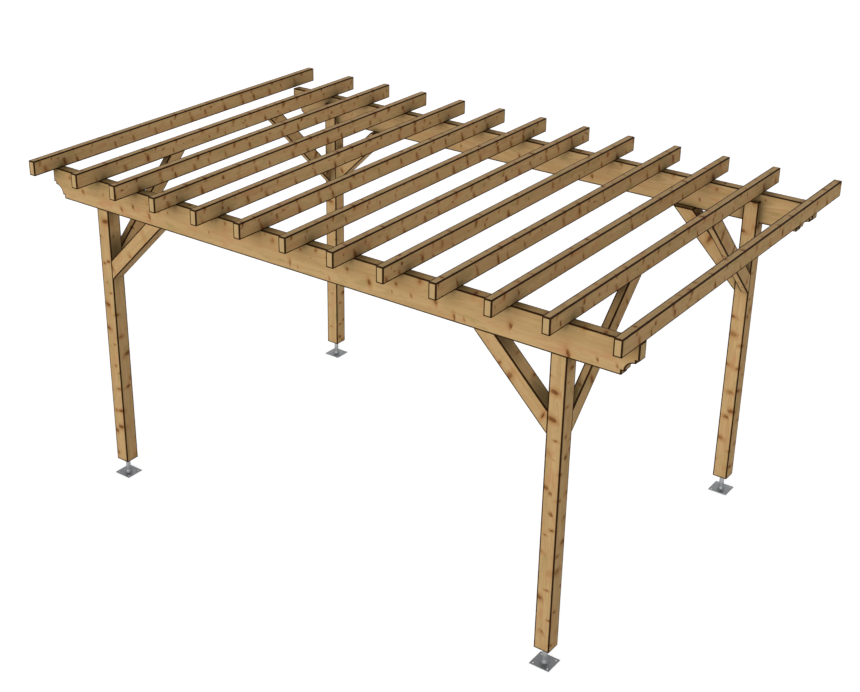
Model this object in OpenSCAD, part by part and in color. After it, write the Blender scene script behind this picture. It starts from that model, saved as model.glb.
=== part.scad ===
// Freestanding pergola: four posts on steel feet, two long beams let into notches in the
// post heads, a row of rafters laid flat across the beams, and a pair of 45 degree braces
// at each post. Millimetres. +X runs along the beams, +Y from the front beam to the rear
// one and +Z up. The origin is at ground level, midway between the four posts.

/* [Posts] */
// Side of the square post section
post_size = 120; // [90:1:180]
// Height of the open way under the beams
headroom = 2405; // [2000:5:2800]
// Length of the tongue left beside the beam at a post's head
tongue_height = 180; // [80:5:220]

/* [Beams] */
// Length of the front beam, which is the width of the roof
front_beam_length = 5210; // [4200:10:6000]
// Distance from an end of the front beam to the outer face of the post beside it
beam_overhang = 485; // [300:5:700]
// How much the rear beam is shorter than the front one at each end
rear_beam_setback = 75; // [0:1:150]
// Thickness of a beam
beam_thickness = 80; // [45:1:85]
// Height of a beam
beam_height = 240; // [180:1:300]

/* [Beam ends] */
// Radius of the cove cut under each end
cove_radius = 72; // [30:1:90]
// Depth of the square step on either side of the cove
cove_step = 20; // [5:1:30]
// Height of the square heel left below the cove
heel_height = 30; // [10:1:45]

/* [Rafters] */
// Length of a rafter, which is the depth of the roof
rafter_length = 3420; // [2800:10:4000]
// Distance from a rafter's end to the outer face of the beam under it
rafter_overhang = 235; // [100:5:400]
// Width of a rafter
rafter_width = 60; // [40:1:80]
// Height of a rafter
rafter_height = 120; // [90:1:180]

/* [Braces] */
// Depth of a brace, measured square to its length
brace_depth = 120; // [80:1:140]
// Rise of a brace's underside from the post's face to the beam
beam_brace_rise = 580; // [400:5:800]
// Rise of a brace's underside from the post's face to the rafter
rafter_brace_rise = 820; // [500:5:1000]
// Thickness of the braces that carry the rafters
rafter_brace_thickness = 60; // [40:1:80]

/* [Feet] */
// Side of the square base plate
plate_size = 158; // [140:1:220]
// Thickness of the base plate
plate_thickness = 8; // [5:1:14]
// Distance between anchor holes along each side of the plate
anchor_spacing = 116; // [90:1:120]
// Diameter of an anchor hole
anchor_hole = 14; // [8:1:16]
// Gap between the ground and a post's end
foot_height = 140; // [80:1:200]
// Diameter of the round stem
stem_diameter = 38; // [24:1:44]
// Diameter of the cone where the stem meets the base plate
cone_diameter = 64; // [45:1:80]
// Height of that cone
cone_height = 28; // [10:1:45]
// Diameter of the flange under the post
flange_diameter = 90; // [60:1:110]
// Thickness of that flange
flange_thickness = 6; // [4:1:12]

/* [Hidden] */
RAFTERS = 13;
FRONT = -1;
REAR = 1;
LEFT = -1;
RIGHT = 1;
// Corners of the frame: each one's name, side in X and side in Y
CORNERS = [
    ["front_left", LEFT, FRONT],
    ["front_right", RIGHT, FRONT],
    ["rear_left", LEFT, REAR],
    ["rear_right", RIGHT, REAR]
];
MIDDLE = (RAFTERS + 1) / 2;

function rafter_name(i) = str("rafter_", i < 10 ? "0" : "", i);

// Heights above the ground
beam_top = headroom + beam_height;
roof_top = beam_top + rafter_height;

// A 45 degree brace is this much taller than deep where a plumb line cuts it
brace_cut = brace_depth * sqrt(2);

// Outer faces of the posts, to either side of the middle
post_face = front_beam_length / 2 - beam_overhang;
beam_face = rafter_length / 2 - rafter_overhang;
post_x = post_face - post_size / 2;
post_y = beam_face - post_size / 2;

// The end rafters are flush with the ends of the front beam. The rafters beside them are
// flush with the outer faces of the posts, and the rest are spread evenly between those.
end_rafter_x = (front_beam_length - rafter_width) / 2;
post_rafter_x = post_face - rafter_width / 2;
rafter_pitch = post_rafter_x / (MIDDLE - 2);

timber = [0.73, 0.59, 0.38];
timber_side = [0.66, 0.52, 0.33];
steel = [0.55, 0.56, 0.57];

// Centre of rafter i in X
function rafter_x(i) =
    i == 1 ? -end_rafter_x :
    i == RAFTERS ? end_rafter_x :
    (i - MIDDLE) * rafter_pitch;

// Places children, drawn for the right rear corner, at another corner of the frame
module at_corner(corner) {
    mirror([corner[1] == LEFT ? 1 : 0, 0, 0])
        mirror([0, corner[2] == FRONT ? 1 : 0, 0])
            children();
}

// Square post with its outer half cut away at the head to seat the beam
module post() {
    color(timber)
        translate([post_face - post_size, beam_face - post_size, foot_height])
            difference() {
                cube([post_size, post_size, headroom + tongue_height - foot_height]);
                translate([-1, post_size - beam_thickness, headroom - foot_height])
                    cube([post_size + 2, beam_thickness + 1, tongue_height + 1]);
            }
}

// What is cut from a beam's left end, with the end's lower corner at the origin:
// a shallow step, a quarter cove and a second step above a square heel
module end_cut() {
    cove_x = cove_step;
    foot_x = cove_x + cove_radius + cove_step;
    step_top = heel_height + cove_radius + cove_step;
    translate([-1, -1])
        square([cove_step + 1, step_top + 1]);
    translate([-1, -1])
        square([foot_x + 1, heel_height + 1]);
    translate([cove_x, heel_height])
        circle(r = cove_radius, $fn = 96);
}

// Beam with shaped ends, standing on edge with its outer face at y = beam_face
module beam(length) {
    color(timber)
        translate([0, beam_face, headroom])
            rotate([90, 0, 0])
                linear_extrude(beam_thickness)
                    difference() {
                        translate([-length / 2, 0])
                            square([length, beam_height]);
                        for (side = [0, 1])
                            mirror([side, 0])
                                translate([-length / 2, 0])
                                    end_cut();
                    }
}

// Side view of a 45 degree brace that rises away from a post's face at x = 0
module brace_outline(rise) {
    polygon([[0, 0], [rise, rise], [rise - brace_cut, rise], [0, brace_cut]]);
}

// Brace in line with the beam, as thick as the post, cut level under the beam
module beam_brace() {
    color(timber)
        translate([post_face - post_size, beam_face, headroom - beam_brace_rise])
            rotate([90, 0, 0])
                linear_extrude(post_size)
                    mirror([1, 0])
                        brace_outline(beam_brace_rise);
}

// Thinner brace across the frame, from the post's inner face to the rafter above it
module rafter_brace() {
    color(timber_side)
        translate([post_face - rafter_brace_thickness, beam_face - post_size, beam_top - rafter_brace_rise])
            rotate([90, 0, 90])
                linear_extrude(rafter_brace_thickness)
                    mirror([1, 0])
                        brace_outline(rafter_brace_rise);
}

module rafter(i) {
    color(timber_side)
        translate([rafter_x(i) - rafter_width / 2, -rafter_length / 2, beam_top])
            cube([rafter_width, rafter_length, rafter_height]);
}

// Square base plate with an anchor hole near each corner
module foot_plate() {
    color(steel)
        translate([post_x, post_y, 0])
            difference() {
                translate([-plate_size / 2, -plate_size / 2, 0])
                    cube([plate_size, plate_size, plate_thickness]);
                for (x = [-1, 1], y = [-1, 1])
                    translate([x * anchor_spacing / 2, y * anchor_spacing / 2, -1])
                        cylinder(d = anchor_hole, h = plate_thickness + 2, $fn = 48);
            }
}

// Round stem that carries the post: a cone on the plate, the stem and a round flange
module foot_stem() {
    color(steel)
        translate([post_x, post_y, 0])
            rotate_extrude($fn = 64)
                polygon([
                    [0, plate_thickness],
                    [cone_diameter / 2, plate_thickness],
                    [stem_diameter / 2, plate_thickness + cone_height],
                    [stem_diameter / 2, foot_height - flange_thickness],
                    [flange_diameter / 2, foot_height - flange_thickness],
                    [flange_diameter / 2, foot_height],
                    [0, foot_height]
                ]);
}

for (corner = CORNERS) {
    at_corner(corner) post();
    at_corner(corner) beam_brace();
    at_corner(corner) rafter_brace();
    at_corner(corner) foot_plate();
    at_corner(corner) foot_stem();
}

for (i = [1 : RAFTERS])
    rafter(i);

mirror([0, 1, 0]) beam(front_beam_length);  // beam_front
beam(front_beam_length - 2 * rear_beam_setback);  // beam_rear
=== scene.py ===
# %% [markdown]
# # A freestanding timber pergola
#
# The real thing is a timber frame that comes as a kit: four posts on steel feet, two long
# beams let into the post heads, a flat row of rafters, and 45 degree braces that stop the
# frame from leaning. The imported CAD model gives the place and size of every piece. This
# lesson dresses it. Each timber gets eased edges and a grain that runs through the solid
# wood, and each foot becomes welded, galvanised steel.
#
# We start by loading the frame, because every later size is read from it.

# %% Load the frame
import math
from types import SimpleNamespace

import bmesh
import bpy
import numpy as np
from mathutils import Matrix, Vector


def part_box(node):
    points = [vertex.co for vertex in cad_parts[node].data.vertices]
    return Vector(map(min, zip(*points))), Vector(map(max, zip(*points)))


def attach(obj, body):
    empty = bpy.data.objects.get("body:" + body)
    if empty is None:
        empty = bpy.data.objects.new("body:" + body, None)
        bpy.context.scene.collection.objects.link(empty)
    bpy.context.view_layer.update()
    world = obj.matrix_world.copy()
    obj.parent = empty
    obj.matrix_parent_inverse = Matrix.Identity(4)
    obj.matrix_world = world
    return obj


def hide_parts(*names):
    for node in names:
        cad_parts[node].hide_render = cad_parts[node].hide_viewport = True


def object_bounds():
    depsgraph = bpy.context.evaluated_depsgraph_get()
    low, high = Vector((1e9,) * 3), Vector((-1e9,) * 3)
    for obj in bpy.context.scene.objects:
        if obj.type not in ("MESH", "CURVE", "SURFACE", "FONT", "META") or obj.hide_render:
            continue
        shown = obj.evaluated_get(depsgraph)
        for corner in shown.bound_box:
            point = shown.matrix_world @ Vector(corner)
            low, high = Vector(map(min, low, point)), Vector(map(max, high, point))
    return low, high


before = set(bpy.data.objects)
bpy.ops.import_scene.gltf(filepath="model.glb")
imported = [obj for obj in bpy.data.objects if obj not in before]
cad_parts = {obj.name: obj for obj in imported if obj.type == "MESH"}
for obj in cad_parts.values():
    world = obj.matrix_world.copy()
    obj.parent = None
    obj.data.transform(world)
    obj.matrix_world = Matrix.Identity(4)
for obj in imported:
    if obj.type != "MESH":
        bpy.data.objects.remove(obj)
cad_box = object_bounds()
CORNERS = {
    "front_left": (-1, -1),
    "front_right": (1, -1),
    "rear_left": (-1, 1),
    "rear_right": (1, 1),
}
cad_size = [round(high - low, 3) for low, high in zip(*cad_box)]
print("frame nodes:", len(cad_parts), "size in metres:", cad_size)

# %% [markdown]
# ## Camera
#
# A pergola is best seen from above eye level, so that the row of rafters reads as a roof.
# The camera stands to the right of the front, looking down by 24 degrees. A long lens keeps
# the posts nearly upright. The small shift puts the frame off-centre without turning the
# camera, as a shift lens does.

# %% Camera
CAMERA_PLACE = (5.970, -8.498, 6.429)
CAMERA_TURN = 37.6
CAMERA_TILT = 24.15
CAMERA_LENS = 59.92
CAMERA_SHIFT = (0.0721, -0.0673)
VIEW_REACH = 400


def aim(turn, tilt):
    """Direction of view: turned left from +Y by `turn` degrees and down by `tilt` degrees."""
    turn, tilt = math.radians(turn), math.radians(tilt)
    level = math.cos(tilt)
    return Vector((-math.sin(turn) * level, math.cos(turn) * level, -math.sin(tilt)))


camera_data = bpy.data.cameras.new("camera")
camera_data.lens = CAMERA_LENS
camera_data.shift_x, camera_data.shift_y = CAMERA_SHIFT
camera_data.clip_end = VIEW_REACH
camera = bpy.data.objects.new("camera", camera_data)
camera.location = CAMERA_PLACE
camera.rotation_mode = "QUATERNION"
camera.rotation_quaternion = aim(CAMERA_TURN, CAMERA_TILT).to_track_quat("-Z", "Y")
bpy.context.scene.collection.objects.link(camera)
bpy.context.scene.camera = camera
print("camera looks along", tuple(round(c, 3) for c in aim(CAMERA_TURN, CAMERA_TILT)))

# %% [markdown]
# ## Helpers for node materials
#
# A node material is a small calculation. Building it through the node editor's own calls
# takes many lines, so three short helpers wrap the kinds that we use most: a node with its
# inputs filled in, a number calculation and a vector calculation.

# %% Node helpers


def node(tree, kind, inputs=(), **settings):
    """Adds one shader node. inputs maps a socket's name or number to a value or a socket."""
    made = tree.nodes.new(kind)
    for name, value in settings.items():
        setattr(made, name, value)
    for key, value in dict(inputs).items():
        socket = made.inputs[key]
        if isinstance(value, bpy.types.NodeSocket):
            tree.links.new(value, socket)
        else:
            socket.default_value = value
    return made


def calc(tree, operation, *values, clamp=False):
    """One Math node; returns its output."""
    made = node(tree, "ShaderNodeMath", enumerate(values), operation=operation, use_clamp=clamp)
    return made.outputs[0]


def vector_calc(tree, operation, *values, output=0):
    """One Vector Math node; returns the output asked for."""
    slots = {i: v for i, v in enumerate(values) if v is not None}
    return node(tree, "ShaderNodeVectorMath", slots, operation=operation).outputs[output]


def smooth(tree, value, low, high, start=0.0, end=1.0):
    """Goes from start at low to end at high in a smooth S, and stays there beyond them."""
    slots = {"Value": value, "From Min": low, "From Max": high, "To Min": start, "To Max": end}
    return node(tree, "ShaderNodeMapRange", slots, interpolation_type="SMOOTHSTEP").outputs[0]


def mix(tree, factor, a, b, mode="MIX"):
    """Mixes two colours; a and b are RGB triples or sockets."""
    a, b = ((*c, 1) if isinstance(c, tuple) else c for c in (a, b))
    made = node(tree, "ShaderNodeMix", data_type="RGBA", blend_type=mode, clamp_factor=True)
    for socket, value in ((made.inputs[0], factor), (made.inputs[6], a), (made.inputs[7], b)):
        if isinstance(value, bpy.types.NodeSocket):
            tree.links.new(value, socket)
        else:
            socket.default_value = value
    return made.outputs[2]


def noise(tree, vector, scale, detail=2.0, roughness=0.5):
    """3D noise around 0.5; returns its value and its colour."""
    slots = {"Vector": vector, "Scale": scale, "Detail": detail, "Roughness": roughness}
    made = node(tree, "ShaderNodeTexNoise", slots, noise_dimensions="3D")
    return made.outputs[0], made.outputs[1]


def srgb(red, green, blue):
    """A colour given as 0 to 255 screen values, turned into the linear values that shaders use."""
    c = np.array([red, green, blue]) / 255
    return tuple(float(x) for x in np.where(c <= 0.04045, c / 12.92, ((c + 0.055) / 1.055) ** 2.4))


def new_material(name):
    """An empty node material; returns the material, its tree and its Principled shader."""
    made = bpy.data.materials.new(name)
    made.use_nodes = True
    return made, made.node_tree, made.node_tree.nodes["Principled BSDF"]


print("a screen grey of 128 is", round(srgb(128, 128, 128)[0], 3), "in linear light")

# %% [markdown]
# ## The timber
#
# Planed softwood has four things that the eye looks for. Growth rings are cylinders round
# the pith, the centre of the tree, so a face cut along them shows long lines and an end
# shows arcs. Knots are branches: cones that start at the pith and run outwards, so a face
# cuts them as ovals that are wider across the grain. The tone drifts slowly along the
# grain. And the arrises, where two faces meet, are eased and stained dark.
#
# An image would stretch or repeat on such long pieces. Instead the whole tree is computed:
# each timber carries two attributes, `timber`, which says how far along the grain and how
# far from the pith a point lies, and `run`, the direction of the grain. A third, `arris`,
# is 1 on an edge and falls to 0 a few millimetres in.
#
# The first step finds the shaded point's place in its tree. No pith is quite straight, so
# slow noise bends it.

# %% Place in the tree
PITH_DRIFT = 0.05


def place_in_tree(tree):
    """Where the shaded point lies: its place as stored, the same squeezed for slow noise, its
    x along the tree and y and z from the wandering pith, its radius and its way outwards."""
    place = node(tree, "ShaderNodeAttribute", attribute_name="timber").outputs["Vector"]
    slow = vector_calc(tree, "MULTIPLY", place, (0.8, 2.0, 2.0))
    drift = vector_calc(tree, "SUBTRACT", noise(tree, slow, 1.0, 1.0)[1], (0.5, 0.5, 0.5))
    bent = vector_calc(tree, "MULTIPLY_ADD", drift, (0.0, PITH_DRIFT, PITH_DRIFT), place)
    x, y, z = node(tree, "ShaderNodeSeparateXYZ", {0: bent}).outputs
    out = node(tree, "ShaderNodeCombineXYZ", {1: y, 2: z}).outputs[0]
    return SimpleNamespace(
        place=place, slow=slow, x=x, y=y, z=z,
        radius=vector_calc(tree, "LENGTH", out, output=1),
        outward=vector_calc(tree, "NORMALIZE", out),
    )


print("the pith wanders by up to", PITH_DRIFT / 2, "m")

# %% [markdown]
# Branches grow from the pith in rows. A Voronoi texture wrapped round the pith gives each
# of them a cell with a centre, which is its direction, and two random numbers, which are
# its girth and how dark its knot is. The branch is a cone along that direction, so its
# distance from a point, counted in branch radii, is 1 all over its bark.

# %% Branches
KNOTS_AROUND = 0.72
KNOT_RISE = 0.35
BRANCH_START = 0.0045
BRANCH_FLARE = 0.13
BRANCH_GROWTH = 0.06


def branch_cells(tree, spot, knot_spacing):
    """The nearest branch's centre, in rows of knot_spacing and round a circle of
    KNOTS_AROUND, and its random numbers."""
    ring = vector_calc(tree, "SCALE", spot.outward)
    tree.nodes[-1].inputs["Scale"].default_value = KNOTS_AROUND
    step = calc(tree, "DIVIDE", spot.x, knot_spacing)
    start = node(tree, "ShaderNodeCombineXYZ", {0: step}).outputs[0]
    cells = node(
        tree, "ShaderNodeTexVoronoi",
        {"Vector": vector_calc(tree, "ADD", start, ring), "Scale": 1.0, "Randomness": 0.8},
        voronoi_dimensions="3D", feature="F1",
    )
    centre = node(tree, "ShaderNodeSeparateXYZ", {0: cells.outputs["Position"]}).outputs
    chance = node(tree, "ShaderNodeSeparateColor", {0: cells.outputs["Color"]}).outputs
    return centre, chance


def branch_reach(tree, spot, knot_spacing, knot_girth, knot_oval):
    """Distance from the nearest branch's axis over its radius, and the branch's second random
    number. The distance is |d x w| for d from the branch's start to the point and w its
    direction. The radius grows with that of the tree, up to BRANCH_GROWTH, and noise makes
    its edge ragged."""
    (row, side_y, side_z), (girth, tone, _) = branch_cells(tree, spot, knot_spacing)
    side = node(tree, "ShaderNodeCombineXYZ", {1: side_y, 2: side_z}).outputs[0]
    rising = vector_calc(tree, "ADD", vector_calc(tree, "NORMALIZE", side), (KNOT_RISE, 0, 0))
    way = vector_calc(tree, "NORMALIZE", rising)
    past = calc(tree, "SUBTRACT", spot.x, calc(tree, "MULTIPLY", row, knot_spacing))
    from_start = node(tree, "ShaderNodeCombineXYZ", {0: past, 1: spot.y, 2: spot.z}).outputs[0]
    aside = vector_calc(tree, "CROSS_PRODUCT", from_start, way)
    aside = vector_calc(tree, "MULTIPLY", aside, (1 / knot_oval, 1, 1))
    grown = calc(tree, "MINIMUM", spot.radius, BRANCH_GROWTH)
    size = calc(tree, "MULTIPLY_ADD", grown, BRANCH_FLARE * knot_girth, BRANCH_START * knot_girth)
    size = calc(tree, "MULTIPLY", size, calc(tree, "MULTIPLY_ADD", girth, 0.9, 0.3))
    ragged = noise(tree, vector_calc(tree, "MULTIPLY", spot.place, (70.0, 50.0, 50.0)), 1.0, 2.0)[0]
    reach = calc(tree, "DIVIDE", vector_calc(tree, "LENGTH", aside, output=1), size)
    return calc(tree, "ADD", reach, calc(tree, "MULTIPLY_ADD", ragged, 0.9, -0.45)), tone


branch_width = 2 * (BRANCH_START + BRANCH_FLARE * BRANCH_GROWTH)
print("a grown branch is about", round(branch_width, 3), "m thick")

# %% [markdown]
# Each year adds a ring: pale early wood that darkens towards a thin line of late wood. The
# ring's number is the radius over the rings' pitch. The trunk tapers, so a straight cut
# crosses the rings at a slant and shows long flames, and the rings swell round a knot. Much
# finer noise, drawn out along the grain, stands for the fibres.

# %% Growth rings and fibres
RING_PITCH = 0.0052
TAPER = 0.012
KNOT_SWELLING = 0.006


def late_wood(tree, spot, halo):
    """1 on the late wood of a ring and 0 in its early wood, from the fraction of
    (radius + TAPER * x + KNOT_SWELLING * halo) / RING_PITCH."""
    tapered = calc(tree, "MULTIPLY", spot.x, TAPER)
    swelling = calc(tree, "MULTIPLY_ADD", halo, KNOT_SWELLING, tapered)
    rings = calc(tree, "DIVIDE", calc(tree, "ADD", spot.radius, swelling), RING_PITCH)
    phase = calc(tree, "FRACT", calc(tree, "ADD", rings, noise(tree, spot.slow, 2.0)[0]))
    return calc(tree, "MULTIPLY", smooth(tree, phase, 0.25, 0.86), smooth(tree, phase, 1.0, 0.93))


def fibres(tree, spot):
    """Noise drawn out along the grain by more than forty times."""
    fine_grain = vector_calc(tree, "MULTIPLY", spot.place, (14.0, 620.0, 620.0))
    return noise(tree, fine_grain, 1.0, 2.0, 0.6)[0]


print("rings per 100 mm:", round(0.1 / RING_PITCH, 1))

# %% [markdown]
# Clear wood is a pale tan. Streaks and rings darken it, patches turn it redder or more
# olive, and in the beams it grows duller towards the pith. Over that go the knots, each with
# a warm halo, a dark rim and faint rings of its own.

# %% Clear wood and knots
PALE_WOOD = srgb(202, 169, 120)
DARK_WOOD = srgb(176, 139, 90)
RED_WOOD = srgb(190, 143, 98)
OLIVE_WOOD = srgb(172, 147, 95)
HEART_WOOD = srgb(168, 136, 86)
KNOT_CORE = srgb(124, 76, 38)
KNOT_RIM = srgb(82, 44, 20)
KNOT_HALO = srgb(166, 112, 62)


def clear_wood(tree, spot, late, fibre, heart):
    """Colour of the wood between the knots; heart is how far it turns to HEART_WOOD near the
    pith."""
    long_grain = vector_calc(tree, "MULTIPLY", spot.place, (1.3, 22.0, 22.0))
    streak = noise(tree, long_grain, 1.0, 3.0, 0.6)[0]
    cloud = vector_calc(tree, "MULTIPLY", spot.place, (5.0, 15.0, 15.0))
    patch = noise(tree, cloud, 1.0, 3.0, 0.65)[0]
    colour = mix(tree, smooth(tree, streak, 0.35, 0.75, 0.05, 0.6), PALE_WOOD, DARK_WOOD)
    colour = mix(tree, calc(tree, "MULTIPLY", late, 0.45), colour, DARK_WOOD)
    colour = mix(tree, smooth(tree, patch, 0.52, 0.7, 0.0, 0.8), colour, RED_WOOD)
    colour = mix(tree, smooth(tree, patch, 0.46, 0.3, 0.0, 0.8), colour, OLIVE_WOOD)
    colour = mix(tree, smooth(tree, spot.radius, 0.17, 0.05, 0.0, heart), colour, HEART_WOOD)
    shade = smooth(tree, fibre, 0.2, 0.8, 0.93, 1.05)
    grey = node(tree, "ShaderNodeCombineColor", {0: shade, 1: shade, 2: shade}).outputs[0]
    return mix(tree, 1.0, colour, grey, "MULTIPLY")


def with_knots(tree, colour, reach, tone, halo):
    """Lays the knots over a colour."""
    depth = smooth(tree, tone, 0.1, 0.7, 0.5, 1.0)
    knot = calc(tree, "MULTIPLY", smooth(tree, reach, 1.35, 0.35), depth)
    rim = calc(tree, "MULTIPLY", smooth(tree, reach, 0.55, 0.8), smooth(tree, reach, 1.05, 0.88))
    colour = mix(tree, calc(tree, "MULTIPLY", halo, 0.6), colour, KNOT_HALO)
    branch = mix(tree, rim, KNOT_CORE, KNOT_RIM)
    wave = calc(tree, "PINGPONG", calc(tree, "MULTIPLY", reach, 4.0), 1.0)
    branch = mix(tree, smooth(tree, wave, 0.0, 1.0, 0.0, 0.45), branch, KNOT_RIM)
    return mix(tree, calc(tree, "MULTIPLY", knot, 0.92), colour, branch)


print("pale wood in linear light:", [round(c, 3) for c in PALE_WOOD])

# %% [markdown]
# Three layers finish it. Cut ends are paler, and show the rings as arcs. Corners where
# timbers meet are darkened with painted shade, found by ambient occlusion. And stain soaks
# into the arrises along the fibres, so its border is a little ragged.

# %% Ends, dust and stain
END_WOOD = srgb(192, 164, 117)
ARRIS_STAIN = srgb(40, 20, 2)
# The next two are painted shade for the corners where timbers meet: its grey, and its reach.
PAINTED_SHADE = (0.40, 0.42, 0.40)
PAINTED_SHADE_REACH = 0.17


def with_ends(tree, colour, late):
    """End grain, wherever the surface faces along the run of the grain."""
    run = node(tree, "ShaderNodeAttribute", attribute_name="run").outputs["Vector"]
    normal = node(tree, "ShaderNodeNewGeometry").outputs["Normal"]
    facing = calc(tree, "ABSOLUTE", vector_calc(tree, "DOT_PRODUCT", normal, run, output=1))
    end_colour = mix(tree, calc(tree, "MULTIPLY", late, 0.6), END_WOOD, DARK_WOOD)
    return mix(tree, smooth(tree, facing, 0.8, 0.95), colour, end_colour)


def with_painted_shade(tree, colour):
    """Painted shade: darkens the colour towards grey where less than all of the surroundings
    is open, in full from two thirds down."""
    # painted shade: ambient occlusion darkens the colour in corners and under overhangs
    shelter = node(tree, "ShaderNodeAmbientOcclusion", {"Distance": PAINTED_SHADE_REACH}, samples=8)
    sheltered = calc(tree, "MULTIPLY_ADD", shelter.outputs["AO"], -3.0, 3.0, clamp=True)
    return mix(tree, sheltered, colour, mix(tree, 1.0, colour, PAINTED_SHADE, "MULTIPLY"))


def with_stain(tree, colour, fibre):
    """The dark arrises, from the arris attribute roughened by the fibres."""
    arris = node(tree, "ShaderNodeAttribute", attribute_name="arris").outputs["Fac"]
    soaked = calc(tree, "ADD", arris, calc(tree, "MULTIPLY_ADD", fibre, 0.5, -0.25))
    stained = calc(
        tree, "MULTIPLY",
        smooth(tree, soaked, 0.02, 0.32, 0.0, 0.98), smooth(tree, arris, 0.0, 0.06),
    )
    return mix(tree, stained, colour, ARRIS_STAIN)


# how far the painted shade in corners reaches
print("painted_shade gathers within", PAINTED_SHADE_REACH, "m of a corner")

# %% [markdown]
# The material puts the layers together. The three kinds of timber differ in how far apart
# their rows of knots lie, in how thick and how wide the knots are, and in whether the wood
# darkens towards the pith.

# %% Timber material
WOODS = {
    "post": (0.23, 1.25, 2.2, 0.0),
    "beam": (0.14, 1.0, 1.3, 0.6),
    "rafter": (0.21, 1.15, 2.2, 0.0),
}


def timber_material(name, knot_spacing, knot_girth, knot_oval, heart):
    """Solid softwood. Rows of knots lie knot_spacing apart, knot_girth scales them, knot_oval
    is how much wider they are across the grain than along it, and heart is how strongly the
    wood darkens towards the pith."""
    material, tree, shader = new_material(name)
    spot = place_in_tree(tree)
    reach, tone = branch_reach(tree, spot, knot_spacing, knot_girth, knot_oval)
    halo = smooth(tree, reach, 3.2, 0.5)
    late, fibre = late_wood(tree, spot, halo), fibres(tree, spot)
    colour = clear_wood(tree, spot, late, fibre, heart)
    colour = with_knots(tree, colour, reach, tone, halo)
    # the corners where timbers meet are darkened with painted shade
    colour = with_stain(tree, with_painted_shade(tree, with_ends(tree, colour, late)), fibre)

    relief = calc(tree, "MULTIPLY_ADD", fibre, 0.6, calc(tree, "MULTIPLY", late, 0.25))
    bump = node(
        tree, "ShaderNodeBump", {"Strength": 0.35, "Distance": 0.0006, "Height": relief}
    ).outputs[0]
    tree.links.new(colour, shader.inputs["Base Color"])
    tree.links.new(bump, shader.inputs["Normal"])
    tree.links.new(smooth(tree, late, 0.0, 1.0, 0.78, 0.66), shader.inputs["Roughness"])
    shader.inputs["Specular IOR Level"].default_value = 0.05
    return material


post_wood, beam_wood, rafter_wood = (
    timber_material(f"{name}_softwood", *looks) for name, looks in WOODS.items()
)
print("timber material:", len(post_wood.node_tree.nodes), "nodes")

# %% [markdown]
# ## Shaping a timber
#
# Every timber here is a flat outline given a thickness: a rafter is a long rectangle, a post
# has a notch at its head, a beam has coves at its ends. A modeller could start from a cube
# and add a Bevel modifier. Working the surface out ourselves gives the same eased edge and
# also tells each point how near an arris it lies, which the material needs.
#
# The surface is a grid. One parameter walks round the outline, and rounds each outward
# corner with a short arc. The other walks over the edge: in from the face, round the arris,
# across the thickness and back in on the other side.

# %% Eased outline
EASE = 0.003
STAIN = 0.011
ARC_STEPS = 3
TRUE_TURN = 0.35


def with_stops(corners):
    """Adds a stop before and after each true corner of a closed outline: a stain's width away,
    or half of that at an inward corner, where short sides leave less room. A corner is true
    where the sine of its turn is above TRUE_TURN. Also returns what each point is (1 outward
    corner, -1 inward corner, 0 neither), its way along the side away from its corner, and a
    pair: how far the corner's mitre runs along the side per unit of inset, and the stop's own
    distance from the corner."""
    step = np.roll(corners, -1, 0) - corners
    way = step / np.linalg.norm(step, axis=1, keepdims=True)
    before = np.roll(way, 1, 0)
    turn = before[:, 0] * way[:, 1] - before[:, 1] * way[:, 0]
    straight = (before * way).sum(1)
    none = 0 * turn
    true_corner = np.abs(turn) > TRUE_TURN
    stop = np.where(turn > 0, STAIN, STAIN / 2)
    run = turn / (1 + straight)
    stops = np.stack([corners - before * stop[:, None], corners, corners + way * stop[:, None]], 1)
    away = np.stack([-before, 0 * way, way], 1)
    keep = np.stack([true_corner, none == 0, true_corner], 1)
    kind = np.stack([none, np.where(true_corner, np.sign(turn), 0), none], 1)
    pair = np.stack([run, stop], 1)
    slide = np.stack([pair, 0 * pair, pair], 1)
    return stops[keep], kind[keep], away[keep], slide[keep]


def outline_rings(corners):
    """Returns a function of an inset that gives the outline at that inset, with its outward
    corners rounded, and says how near a corner each point is. Each point slides along its
    mitre, (n1 + n2) / (1 + n1.n2) for the inward normals n1 and n2 of its two sides. An arc
    point adds (EASE - inset) along its own outward direction, so the arc closes to the
    mitre where the inset reaches the rounding's centre. Where a sharp corner's mitre would
    overtake a stop, the stop moves along with it."""
    points, kind, away, slide = with_stops(np.array(corners, float))
    way = np.roll(points, -1, 0) - points
    way /= np.linalg.norm(way, axis=1, keepdims=True)
    normal = np.stack([-way[:, 1], way[:, 0]], 1)
    before = np.roll(normal, 1, 0)
    mitre = (before + normal) / (1 + (before * normal).sum(1, keepdims=True))
    counts = np.where(kind > 0, ARC_STEPS + 1, 1)
    index = np.repeat(np.arange(len(points)), counts)
    first = np.repeat(np.cumsum(counts) - counts, counts)
    share = ((np.arange(len(index)) - first) / ARC_STEPS)[:, None]
    outward = -((1 - share) * before[index] + share * normal[index])
    outward /= np.linalg.norm(outward, axis=1, keepdims=True)
    rounded = kind[index] > 0
    near = (kind[index] != 0).astype(float)

    def at(inset):
        deep = np.where(rounded, max(inset, EASE), inset)[:, None]
        spread = np.where(rounded, max(EASE - inset, 0), 0)[:, None]
        overtaken = np.maximum(inset * slide[:, :1] - slide[:, 1:], 0) * away
        return (points + overtaken)[index] + deep * mitre[index] + spread * outward

    return at, near


print("points round an eased square:", len(outline_rings([(0, 0), (1, 0), (1, 1), (0, 1)])[1]))

# %% [markdown]
# The other way of the grid goes over the edge. It needs the inset and the depth of each
# ring, and the rule that joins the points of neighbouring rings into faces.

# %% Over the edge


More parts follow.
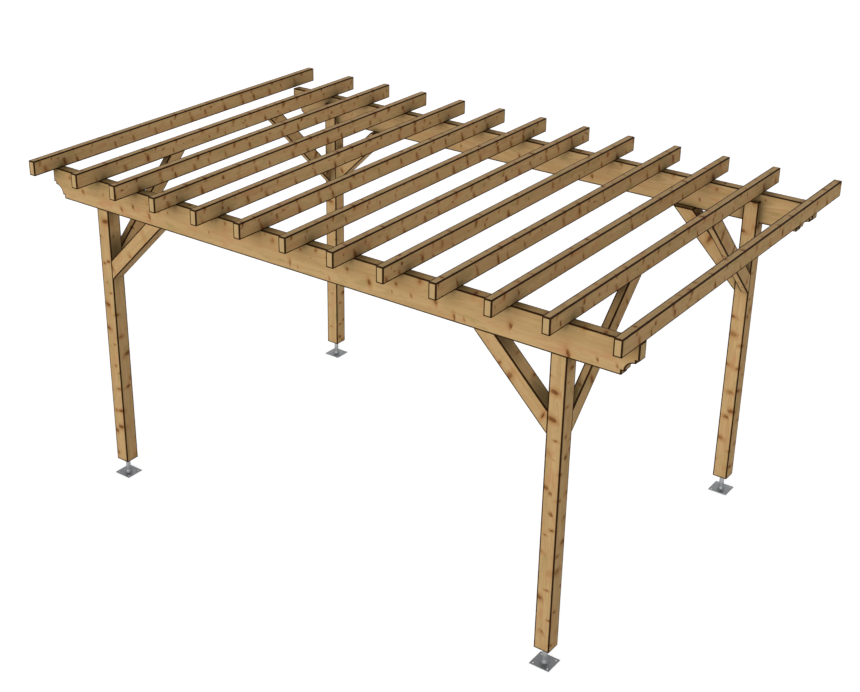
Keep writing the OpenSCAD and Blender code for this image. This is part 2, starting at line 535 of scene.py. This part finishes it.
def over_the_edge(thickness):
    """Insets and depths of the rings that lead from one face, round both arrises, to the other,
    with 1 for a ring on an arris. Round an arris the inset is EASE * (1 - sin a) and the depth
    EASE * (1 - cos a) as a goes from 0 to a quarter turn."""
    angle = np.linspace(0, np.pi / 2, ARC_STEPS + 1)
    inset = np.concatenate([[STAIN], EASE * (1 - np.sin(angle)), [0]])
    depth = np.concatenate([[0], EASE * (1 - np.cos(angle)), [STAIN]])
    near = np.concatenate([[0], np.ones(ARC_STEPS + 1), [0]])
    return (
        np.concatenate([inset, inset[::-1]]),
        np.concatenate([depth, thickness - depth[::-1]]),
        np.concatenate([near, near[::-1]]),
    )


def closed_grid(rings, count):
    """Faces of a grid whose columns close into rings."""
    row, column = np.meshgrid(np.arange(rings - 1), np.arange(count), indexing="ij")
    after = (column + 1) % count
    here, next_row = row * count, (row + 1) * count
    faces = [here + column, next_row + column, next_row + after, here + after]
    return np.stack(faces, 2).reshape(-1, 4)


print("rings over a timber's edges:", len(over_the_edge(1.0)[0]))

# %% [markdown]
# Every mesh goes into the scene in the same way. Points that fall together are merged, the
# faces are turned outwards, and the shading is smooth up to an angle. Each piece says which
# body it rides on, here the one that stands still.

# %% Adding a piece
SHARP_ANGLE = math.radians(50)


def add_piece(name, mesh, material):
    """Merges doubles, turns the faces outwards, and puts the mesh in the scene as one piece."""
    shell = bmesh.new()
    shell.from_mesh(mesh)
    bmesh.ops.remove_doubles(shell, verts=shell.verts, dist=1e-6)
    bmesh.ops.recalc_face_normals(shell, faces=shell.faces)
    shell.to_mesh(mesh)
    shell.free()
    mesh.shade_smooth()
    mesh.set_sharp_from_angle(angle=SHARP_ANGLE)
    mesh.materials.append(material)
    piece = bpy.data.objects.new(name, mesh)
    bpy.context.scene.collection.objects.link(piece)
    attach(piece, "root")
    return piece


print("edges stay sharp above", round(math.degrees(SHARP_ANGLE)), "degrees")

# %% [markdown]
# The attributes come from the same numbers as the shape. A point's place in its tree is its
# distance along the grain, and two distances across it from a pith that lies a little
# differently in each timber.
#
# Posts and braces have cut ends that fit tight against their neighbours. Weather can't
# reach those edges, so they get no stain, and a joint shows as one thin line.

# %% Attributes
PITH_SPREAD = 0.012
TREE_LENGTH = 90
TOUCH = 0.004
SQUARE = [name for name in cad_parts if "brace" not in name and "foot" not in name]
dice = np.random.default_rng(7)


def touches_another(points, cad_node):
    """True for each point in the box of another post, beam or rafter, or within TOUCH of it."""
    touching = np.zeros(len(points), bool)
    for other in SQUARE:
        if other != cad_node:
            low, high = (np.array(c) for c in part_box(other))
            touching |= ((points > low - TOUCH) & (points < high + TOUCH)).all(1)
    return touching


def tree_place(local, pith, grain, cross):
    """Distance along the grain from a random start, and across it from the pith. local holds
    points in the timber's own axes, and grain and cross are directions in its outline."""
    centred = local - (local.min(0) + local.max(0)) / 2
    heart = np.array(pith) + dice.uniform(-PITH_SPREAD, PITH_SPREAD, 2)
    along = centred @ grain + dice.uniform(0, TREE_LENGTH)
    return np.stack([along, centred @ cross - heart[0], centred[:, 2] - heart[1]], 1)


def set_attribute(mesh, label, values):
    """Stores a number or a vector for each point of a mesh, for the material to read."""
    kind, field = ("FLOAT_VECTOR", "vector") if values.ndim == 2 else ("FLOAT", "value")
    attribute = mesh.attributes.new(label, kind, "POINT")
    attribute.data.foreach_set(field, values.astype(np.float32).ravel())


print("timbers with square ends:", len(SQUARE))

# %% [markdown]
# Now a timber can be made from its outline. The grid is placed in the box of the CAD node
# that the timber stands for. A grid alone leaves both faces open, so each gets one flat
# polygon inside its innermost ring.

# %% Timber from an outline
X, Y, Z = np.eye(3)


def timber(
    cad_node, corners, side_a, side_b, wood, pith=(0.0, 0.0), grain_turn=0.0, butts=False
):
    """One timber in the box of its CAD node, which it replaces. The outline lies along side_a
    and side_b, the thickness along side_a x side_b, and all three start at the box's side that
    they point away from. grain_turn turns the grain from side_a towards side_b. pith is the
    heart's place from the middle: across the grain in the outline, and through the thickness.
    butts says that its cut ends fit tight against other timbers, and stay clean there."""
    axes = np.stack([side_a, side_b, np.cross(side_a, side_b)])
    low, high = (np.array(c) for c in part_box(cad_node))
    origin = np.where(axes.sum(0) > 0, low, high)
    thickness = abs(axes[2] @ (high - low))

    at, near_corner = outline_rings(corners)
    inset, depth, near_face = over_the_edge(thickness)
    flat = np.stack([at(i) for i in inset])
    rings, count = flat.shape[:2]
    local = np.concatenate([flat, np.broadcast_to(depth[:, None, None], (rings, count, 1))], 2)
    local = local.reshape(-1, 3)
    world = origin + local @ axes

    flat_ring = np.concatenate([[True], near_corner[1:] * near_corner[:-1] == 0])
    ends = [np.flatnonzero(flat_ring), (rings - 1) * count + np.flatnonzero(flat_ring)[::-1]]
    mesh = bpy.data.meshes.new(cad_node)
    faces = closed_grid(rings, count).tolist() + [end.tolist() for end in ends]
    mesh.from_pydata(world.tolist(), [], faces)

    grain = np.array([math.cos(grain_turn), math.sin(grain_turn), 0])
    cross = np.array([-math.sin(grain_turn), math.cos(grain_turn), 0])
    edges = near_face[:, None] + near_corner[None, :]
    edges[[0, -1]] = 0
    tight = touches_another(world, cad_node).reshape(rings, count) & butts
    set_attribute(mesh, "timber", tree_place(local, pith, grain, cross))
    set_attribute(mesh, "run", np.broadcast_to(grain @ axes, world.shape))
    set_attribute(mesh, "arris", np.where(tight, edges > 1, edges > 0).ravel())

    piece = add_piece(f"{cad_node}_timber", mesh, wood)
    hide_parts(cad_node)
    return piece


timbers = [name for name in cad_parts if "foot" not in name]
print("timbers to make:", len(timbers))

# %% [markdown]
# ## Rafters
#
# A rafter is the plain case: a rectangle seen from the side, as long as the roof is deep.
# Its grain runs along its length, and its heart lies a little above the middle, so that the
# knots come out high on its sides.

# %% Rafters


def rectangle(width, height):
    """Corners of a rectangle, anticlockwise from the origin."""
    return [(0, 0), (width, 0), (width, height), (0, height)]


RAFTER_PITH = (0.02, 0)
rafters = [name for name in sorted(SQUARE) if name.startswith("rafter_")]
for name in rafters:
    low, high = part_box(name)
    corners = rectangle(high.y - low.y, high.z - low.z)
    timber(name, corners, Y, Z, rafter_wood, pith=RAFTER_PITH)
print("rafters:", len(rafters), "each", round(high.y - low.y, 3), "m long")

# %% [markdown]
# ## Beams
#
# The two beams stand on edge. Under each end the sawyer cuts a small square step, a quarter
# cove and a second step, and leaves a short heel. The outline is walked anticlockwise, with
# the cove as an arc, and mirrored for the other end.
#
# Beams are sawn from large logs, beside the heart. So the pith lies high up and just outside
# the front beam, and the wood darkens towards it. The rear beam's pith lies further off, so
# its wood stays paler: painted light that makes up for the shade the rafters cast on it.

# %% Beams
COVE_RADIUS = 0.072
COVE_STEP = 0.020
HEEL_HEIGHT = 0.030
COVE_POINTS = 11


def beam_end():
    """Outline under a beam's right end, from its heel to its end face, measured in from the end
    and up from the bottom: a quarter circle, centre + radius * (cos a, sin a), between two
    square steps."""
    angle = np.linspace(0, np.pi / 2, COVE_POINTS)
    arc = np.stack([np.cos(angle), np.sin(angle)], 1)
    cove = (COVE_STEP, HEEL_HEIGHT) + COVE_RADIUS * arc
    heel = COVE_STEP + COVE_RADIUS + COVE_STEP
    top = HEEL_HEIGHT + COVE_RADIUS + COVE_STEP
    return np.concatenate([[(heel, 0), (heel, HEEL_HEIGHT)], cove, [(COVE_STEP, top), (0, top)]])


def beam_outline(length, height):
    """Both shaped ends and the straight top of a beam."""
    right = beam_end() * (-1, 1) + (length, 0)
    left = beam_end()[::-1]
    return np.concatenate([right, [(length, height), (0, height)], left])


# the rear beam's pith lies further off, which keeps its wood paler: painted light against the
# rafters' shade
BEAM_PITH = {"beam_front": (0.07, -0.05), "beam_rear": (0.07, -0.16)}
for name, pith in BEAM_PITH.items():
    low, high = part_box(name)
    corners = beam_outline(high.x - low.x, high.z - low.z)
    timber(name, corners, X, Z, beam_wood, pith=pith)
    print(name, "outline points:", len(corners))

# %% [markdown]
# ## Posts
#
# A post is cut away on its outer side at the head, where the beam sits, and the inner part
# is left as a tongue. Seen from the side that is a six-cornered outline. It is drawn from
# the foot up and from the inner face out, so the same function serves all four posts.

# %% Posts


def post_outline(cad_node, beam):
    """Side view of a post: along its height, then from its inner to its outer face."""
    low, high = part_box(cad_node)
    beam_low, beam_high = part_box(beam)
    height, depth = high.z - low.z, high.y - low.y
    tongue = depth - (beam_high.y - beam_low.y)
    seat = beam_low.z - low.z
    return [(0, 0), (height, 0), (height, tongue), (seat, tongue), (seat, depth), (0, depth)]


for corner, (_, end) in CORNERS.items():
    corners = post_outline(f"post_{corner}", "beam_front" if end < 0 else "beam_rear")
    timber(f"post_{corner}", corners, Z, end * Y, post_wood, butts=True)
print("posts: 4, tongue", round(corners[2][1], 3), "m thick")

# %% [markdown]
# ## Braces
#
# A brace is a straight timber at 45 degrees whose ends are cut plumb against the post and
# level under the beam or rafter. Its outline is drawn in those directions, and its grain is
# turned to follow its own length.

# %% Braces
BRACE_DEPTH = 0.120
BRACE_CUT = BRACE_DEPTH * math.sqrt(2)


def brace_outline(rise):
    """Side view of a brace that leaves a post at the origin and climbs at 45 degrees."""
    return [(0, 0), (rise, rise), (rise - BRACE_CUT, rise), (0, BRACE_CUT)]


for corner, (side, end) in CORNERS.items():
    for kind, way in (("beam_brace", -side * X), ("rafter_brace", -end * Y)):
        low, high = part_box(f"{kind}_{corner}")
        timber(
            f"{kind}_{corner}", brace_outline(high.z - low.z), way, Z,
            post_wood, grain_turn=math.pi / 4, butts=True,
        )
    print(corner, "braces climb", round(high.z - low.z, 3), "m")

# %% [markdown]
# ## Steel for the feet
#
# Each foot is welded steel, dipped in zinc. Fresh zinc cools into large dull crystals, which
# is what makes it look patchy from near by and plain grey from afar. A Voronoi texture gives
# each crystal its own shade and gloss. Cloudy noise over it stands for the white bloom that
# zinc grows outdoors. A painted highlight lifts the faces towards a bright zinc colour, most
# on upright faces, and less so just above the ground.

# %% Zinc material
ZINC = srgb(115, 117, 119)
ZINC_DARK = srgb(92, 94, 96)
ZINC_BLOOM = srgb(144, 145, 144)
# The next colour is a painted highlight: the bright zinc that the faces are lifted towards.
ZINC_PAINTED_HIGHLIGHT = srgb(205, 206, 208)
LOW_HIGHLIGHT_FADE = 0.04
LOW_HIGHLIGHT_SHARE = 0.55


def zinc_material(name, top_painted_highlight, side_painted_highlight, highlight_dims_below):
    """Dull galvanised steel. A painted highlight lifts its level faces by the first amount and
    its upright ones by the second, each from 0 to 1, towards a bright zinc colour, but less
    so below the height given last."""
    material, tree, shader = new_material(name)
    place = node(tree, "ShaderNodeTexCoord").outputs["Object"]
    wobble = vector_calc(tree, "MULTIPLY_ADD", noise(tree, place, 60.0)[1], (0.006,) * 3, place)
    cells = node(tree, "ShaderNodeTexVoronoi", {"Vector": wobble, "Scale": 110.0}, feature="F1")
    shade = node(tree, "ShaderNodeSeparateColor", {0: cells.outputs["Color"]}).outputs[0]
    bloom = noise(tree, place, 24.0, 4.0, 0.6)[0]
    colour = mix(tree, shade, ZINC_DARK, ZINC)
    colour = mix(tree, smooth(tree, bloom, 0.5, 0.72, 0.0, 0.55), colour, ZINC_BLOOM)
    normal = node(tree, "ShaderNodeNewGeometry").outputs["Normal"]
    level = calc(tree, "ABSOLUTE", node(tree, "ShaderNodeSeparateXYZ", {0: normal}).outputs[2])
    height = node(tree, "ShaderNodeSeparateXYZ", {0: place}).outputs[2]
    # painted highlight: lifts the faces towards a bright zinc colour, more on upright faces, less
    # low down
    painted_highlight = calc(
        tree, "MULTIPLY", smooth(tree, level, 0.7, 0.3, top_painted_highlight, side_painted_highlight),
        smooth(tree, height, highlight_dims_below - LOW_HIGHLIGHT_FADE, highlight_dims_below, LOW_HIGHLIGHT_SHARE),
    )
    colour = mix(tree, painted_highlight, colour, ZINC_PAINTED_HIGHLIGHT)
    roughness = calc(tree, "MULTIPLY_ADD", shade, 0.15, smooth(tree, bloom, 0.4, 0.7, 0.42, 0.6))
    relief = calc(tree, "ADD", calc(tree, "MULTIPLY", shade, 0.3), noise(tree, place, 900.0)[0])
    bump = node(
        tree, "ShaderNodeBump", {"Strength": 0.25, "Distance": 0.0004, "Height": relief}
    ).outputs[0]
    tree.links.new(colour, shader.inputs["Base Color"])
    tree.links.new(roughness, shader.inputs["Roughness"])
    tree.links.new(bump, shader.inputs["Normal"])
    shader.inputs["Metallic"].default_value = 0.75
    return material


# the plate and the stem differ only in how strong their painted highlight is
plate_zinc = zinc_material("plate_zinc", 0.04, 0.8, 0.0)
stem_zinc = zinc_material("stem_zinc", 0.1, 0.5, 0.09)
print("zinc material:", len(plate_zinc.node_tree.nodes), "nodes")

# %% [markdown]
# ## Base plates
#
# A base plate is a square with an anchor hole near each corner. A Boolean would cut the
# holes, but leaves long thin faces. Here each quarter of the plate is a grid between two
# closed curves: the hole's circle and the quarter's square. Solidify gives the sheet its
# thickness and Bevel takes the sharp edges off, as dipping in zinc does.

# %% Base plates
ANCHOR_SPACING = 0.116
ANCHOR_RADIUS = 0.007
AROUND_HOLE = 48
HOLE_TO_EDGE = 6
STEEL_EASE = 0.0008


def plate_quarter(half):
    """Grid from the hole to the outline of one quarter of a plate: hole + (square - hole) * t,
    where hole = its centre + radius * (cos a, sin a) and square = the quarter's centre
    + half its side * (cos a, sin a) / max(|cos a|, |sin a|)."""
    angle = np.arange(AROUND_HOLE) * 2 * np.pi / AROUND_HOLE
    ray = np.stack([np.cos(angle), np.sin(angle)], 1)
    hole = ANCHOR_SPACING / 2 + ANCHOR_RADIUS * ray
    square = half / 2 * (1 + ray / np.abs(ray).max(1, keepdims=True))
    t = (np.arange(HOLE_TO_EDGE + 1) / HOLE_TO_EDGE)[:, None, None] ** 1.5
    return hole + (square - hole) * t


def base_plate(corner):
    """The four quarters of a plate, mirrored into place, as one sheet with a thickness."""
    low, high = (np.array(c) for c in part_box(f"foot_plate_{corner}"))
    centre, half = (low + high) / 2, (high[0] - low[0]) / 2
    grid = plate_quarter(half).reshape(-1, 2)
    signs = np.array([(1, 1), (-1, 1), (-1, -1), (1, -1)])
    flat = (grid[None] * signs[:, None] + centre[:2]).reshape(-1, 2)
    points = np.concatenate([flat, np.full((len(flat), 1), high[2])], 1)
    faces = closed_grid(HOLE_TO_EDGE + 1, AROUND_HOLE)
    quarters = [
        (faces if sx * sy > 0 else faces[:, ::-1]) + i * len(grid)
        for i, (sx, sy) in enumerate(signs)
    ]
    mesh = bpy.data.meshes.new(f"foot_plate_{corner}")
    mesh.from_pydata(points.tolist(), [], np.concatenate(quarters).tolist())
    piece = add_piece(f"foot_plate_{corner}_steel", mesh, plate_zinc)
    wall = piece.modifiers.new("thickness", "SOLIDIFY")
    wall.thickness = high[2] - low[2]
    wall.offset = -1
    edge = piece.modifiers.new("soft_edges", "BEVEL")
    edge.width = STEEL_EASE
    edge.segments = 2
    edge.limit_method = "ANGLE"
    edge.angle_limit = SHARP_ANGLE
    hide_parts(f"foot_plate_{corner}")
    return piece


for corner in CORNERS:
    base_plate(corner)
print("base plates: 4")

# %% [markdown]
# ## Stems
#
# The stem is turned steel: a cone that spreads the load over the plate, the rod, and the
# round flange that the post stands on. It is a profile carried round a circle. Where it was
# welded, at the cone's foot and under the flange, the bead swells and sinks as the welder
# moved on, so the radius there also depends on the angle.

# %% Stems
CONE_RADIUS = 0.032
CONE_HEIGHT = 0.028
STEM_RADIUS = 0.019
FLANGE_HEIGHT = 0.006
BEAD = 0.0022
BEADS_AROUND = 22
AROUND_STEM = 132


def stem_profile(height, flange):
    """Radius, height and share of weld ripple from the plate up: bead, hollow cone, rod, bead,
    then the flange with eased rims. The hollow of the cone is (1 - t) ** 1.6."""
    turn = np.linspace(0, np.pi / 2, 5)
    edge = CONE_RADIUS - BEAD
    foot = np.stack([edge + BEAD * np.cos(turn), BEAD * np.sin(turn), np.ones(5)], 1)
    t = np.linspace(0, 1, 10)[1:]
    narrowing = STEM_RADIUS + (edge - STEM_RADIUS) * (1 - t) ** 1.6
    cone = np.stack([narrowing, BEAD + (CONE_HEIGHT - BEAD) * t, 0 * t], 1)
    under = height - FLANGE_HEIGHT
    rod_end = STEM_RADIUS + BEAD * (1 - np.cos(turn))
    neck = np.stack([rod_end, under - BEAD * (1 - np.sin(turn)), np.sin(turn)], 1)
    ease, bow = STEEL_EASE, 0.3 * STEEL_EASE
    rim = [
        (flange - ease, under, 0), (flange - bow, under + bow, 0), (flange, under + ease, 0),
        (flange, height - ease, 0), (flange - bow, height - bow, 0), (flange - ease, height, 0),
    ]
    return np.concatenate([[(0, 0, 0)], foot, cone, neck, rim, [(0, height, 0)]])


def stem(corner):
    """Carries the profile round the post's axis: x = r cos a, y = r sin a. Each weld bead adds
    a fifth of its own size times a rounded ripple, |sin|, of the angle."""
    low, high = (np.array(c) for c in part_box(f"foot_stem_{corner}"))
    radius, rise, weld = stem_profile(high[2] - low[2], (high[0] - low[0]) / 2).T
    angle = np.arange(AROUND_STEM) * 2 * np.pi / AROUND_STEM
    ripple = 0.2 * BEAD * (np.abs(np.sin(BEADS_AROUND / 2 * angle)) - 1)
    wide = radius[:, None] + weld[:, None] * ripple
    centre = (low + high) / 2
    x, y = centre[0] + wide * np.cos(angle), centre[1] + wide * np.sin(angle)
    points = np.stack([x, y, low[2] + rise[:, None] + 0 * wide], 2).reshape(-1, 3)
    mesh = bpy.data.meshes.new(f"foot_stem_{corner}")
    mesh.from_pydata(points.tolist(), [], closed_grid(len(radius), AROUND_STEM).tolist())
    piece = add_piece(f"foot_stem_{corner}_steel", mesh, stem_zinc)
    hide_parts(f"foot_stem_{corner}")
    return piece


for corner in CORNERS:
    stem(corner)
print("stems: 4")

# %% [markdown]
# ## Floor
#
# The frame stands on a plain pale floor that runs out to a white horizon. It lights the
# frame softly, but a camera or a mirror should see it white. The Light Path node tells the
# two kinds of ray apart, so the floor can light the frame as a pale matt floor does, keep a
# faint shadow, and still look white.

# %% Floor
FLOOR_SIZE = 70.0
FLOOR_GREY = 0.8
FLOOR_SHADED = 0.58
FLOOR_WHITE = 0.74


def seen_directly(tree):
    """1 for rays from the camera, a mirror or clear glass, 0 for rays that gather light."""
    ray = node(tree, "ShaderNodeLightPath").outputs
    mirrored = calc(tree, "MAXIMUM", ray["Is Glossy Ray"], ray["Is Transmission Ray"])
    return calc(tree, "MAXIMUM", ray["Is Camera Ray"], mirrored)


def floor_material():
    """A pale matt floor, FLOOR_GREY to the rays that gather light. It is seen as a glow of
    FLOOR_WHITE plus a matt grey of FLOOR_SHADED, which is white with a faint shadow."""
    material, tree, shader = new_material("studio_floor")
    shader.inputs["Base Color"].default_value = (FLOOR_GREY, FLOOR_GREY, FLOOR_GREY, 1)
    shader.inputs["Roughness"].default_value = 0.9
    shader.inputs["Specular IOR Level"].default_value = 0.0
    glow = {"Color": (1, 1, 1, 1), "Strength": FLOOR_WHITE}
    white = node(tree, "ShaderNodeEmission", glow).outputs[0]
    grey = (FLOOR_SHADED, FLOOR_SHADED, FLOOR_SHADED, 1)
    matt = node(tree, "ShaderNodeBsdfDiffuse", {"Color": grey}).outputs[0]
    seen = node(tree, "ShaderNodeAddShader", {0: white, 1: matt}).outputs[0]
    ways = {0: seen_directly(tree), 1: shader.outputs[0], 2: seen}
    blend = node(tree, "ShaderNodeMixShader", ways)
    tree.links.new(blend.outputs[0], tree.nodes["Material Output"].inputs[0])
    return material


floor_mesh = bpy.data.meshes.new("floor")
half = FLOOR_SIZE / 2
floor_corners = [(-half, -half, 0), (half, -half, 0), (half, half, 0), (-half, half, 0)]
floor_mesh.from_pydata(floor_corners, [], [(0, 1, 2, 3)])
floor_mesh.materials.append(floor_material())
floor = bpy.data.objects.new("floor", floor_mesh)
bpy.context.scene.collection.objects.link(floor)
print("floor:", FLOOR_SIZE, "m")

# %% [markdown]
# ## Sky
#
# The sky is dim to the rays that gather light, so that it only fills the shadows. To the
# camera it is white, by the same trick as the floor.

# %% Sky
SKY_LEVEL = 0.30
sky = bpy.data.worlds.new("studio_sky")
sky.use_nodes = True
sky_seen = seen_directly(sky.node_tree)
brightness = calc(sky.node_tree, "MULTIPLY_ADD", sky_seen, 1 - SKY_LEVEL, SKY_LEVEL)
sky.node_tree.links.new(brightness, sky.node_tree.nodes["Background"].inputs["Strength"])
sky.node_tree.nodes["Background"].inputs["Color"].default_value = (1, 1, 1, 1)
bpy.context.scene.world = sky
bpy.context.scene.view_settings.view_transform = "Standard"
print("sky level:", SKY_LEVEL)

# %% [markdown]
# ## Lamps
#
# Two very soft sun lamps do most of the rest. The key lamp stands in front and a little to
# the right, so the fronts of the timbers are brightest and their sides fall off. A weaker
# lamp behind keeps the back from going dull. Each is given as an arrow towards the lamp
# whose length is how brightly it lights a surface that faces it. A sun lamp's strength is
# pi times that, because a matt surface sends its light out over half of all directions.

# %% Lamps
LAMPS = {
    "key": ((0.20, -0.68, 0.16), 50),
    "back": ((-0.20, 0.36, 0.05), 60),
}
for name, (arrow, spread) in LAMPS.items():
    arrow = Vector(arrow)
    light = bpy.data.lights.new(name, "SUN")
    light.energy = math.pi * arrow.length
    light.angle = math.radians(spread)
    lamp = bpy.data.objects.new(name, light)
    lamp.rotation_mode = "QUATERNION"
    lamp.rotation_quaternion = arrow.to_track_quat("Z", "Y")
    bpy.context.scene.collection.objects.link(lamp)
    print(name, "lamp strength", round(light.energy, 2))

# %% [markdown]
# The rafters keep some of that light off the rear beam. A wide, weak panel of light under
# the roof, turned towards that beam, makes up for it. No camera or mirror sees it.

# %% Panel of light
PANEL_WATTS = 14
PANEL_SIZE = (3.8, 0.9)
PANEL_PLACE = (0, -1.0, 1.3)
PANEL_AIM = (0, 2.4, 1.2)
panel_light = bpy.data.lights.new("panel", "AREA")
panel_light.shape = "RECTANGLE"
panel_light.size, panel_light.size_y = PANEL_SIZE
panel_light.energy = PANEL_WATTS
panel = bpy.data.objects.new("panel", panel_light)
panel.location = PANEL_PLACE
panel.rotation_mode = "QUATERNION"
panel.rotation_quaternion = Vector(PANEL_AIM).to_track_quat("-Z", "Y")
panel.visible_camera = False
panel.visible_glossy = False
bpy.context.scene.collection.objects.link(panel)
print("panel", PANEL_WATTS, "W")
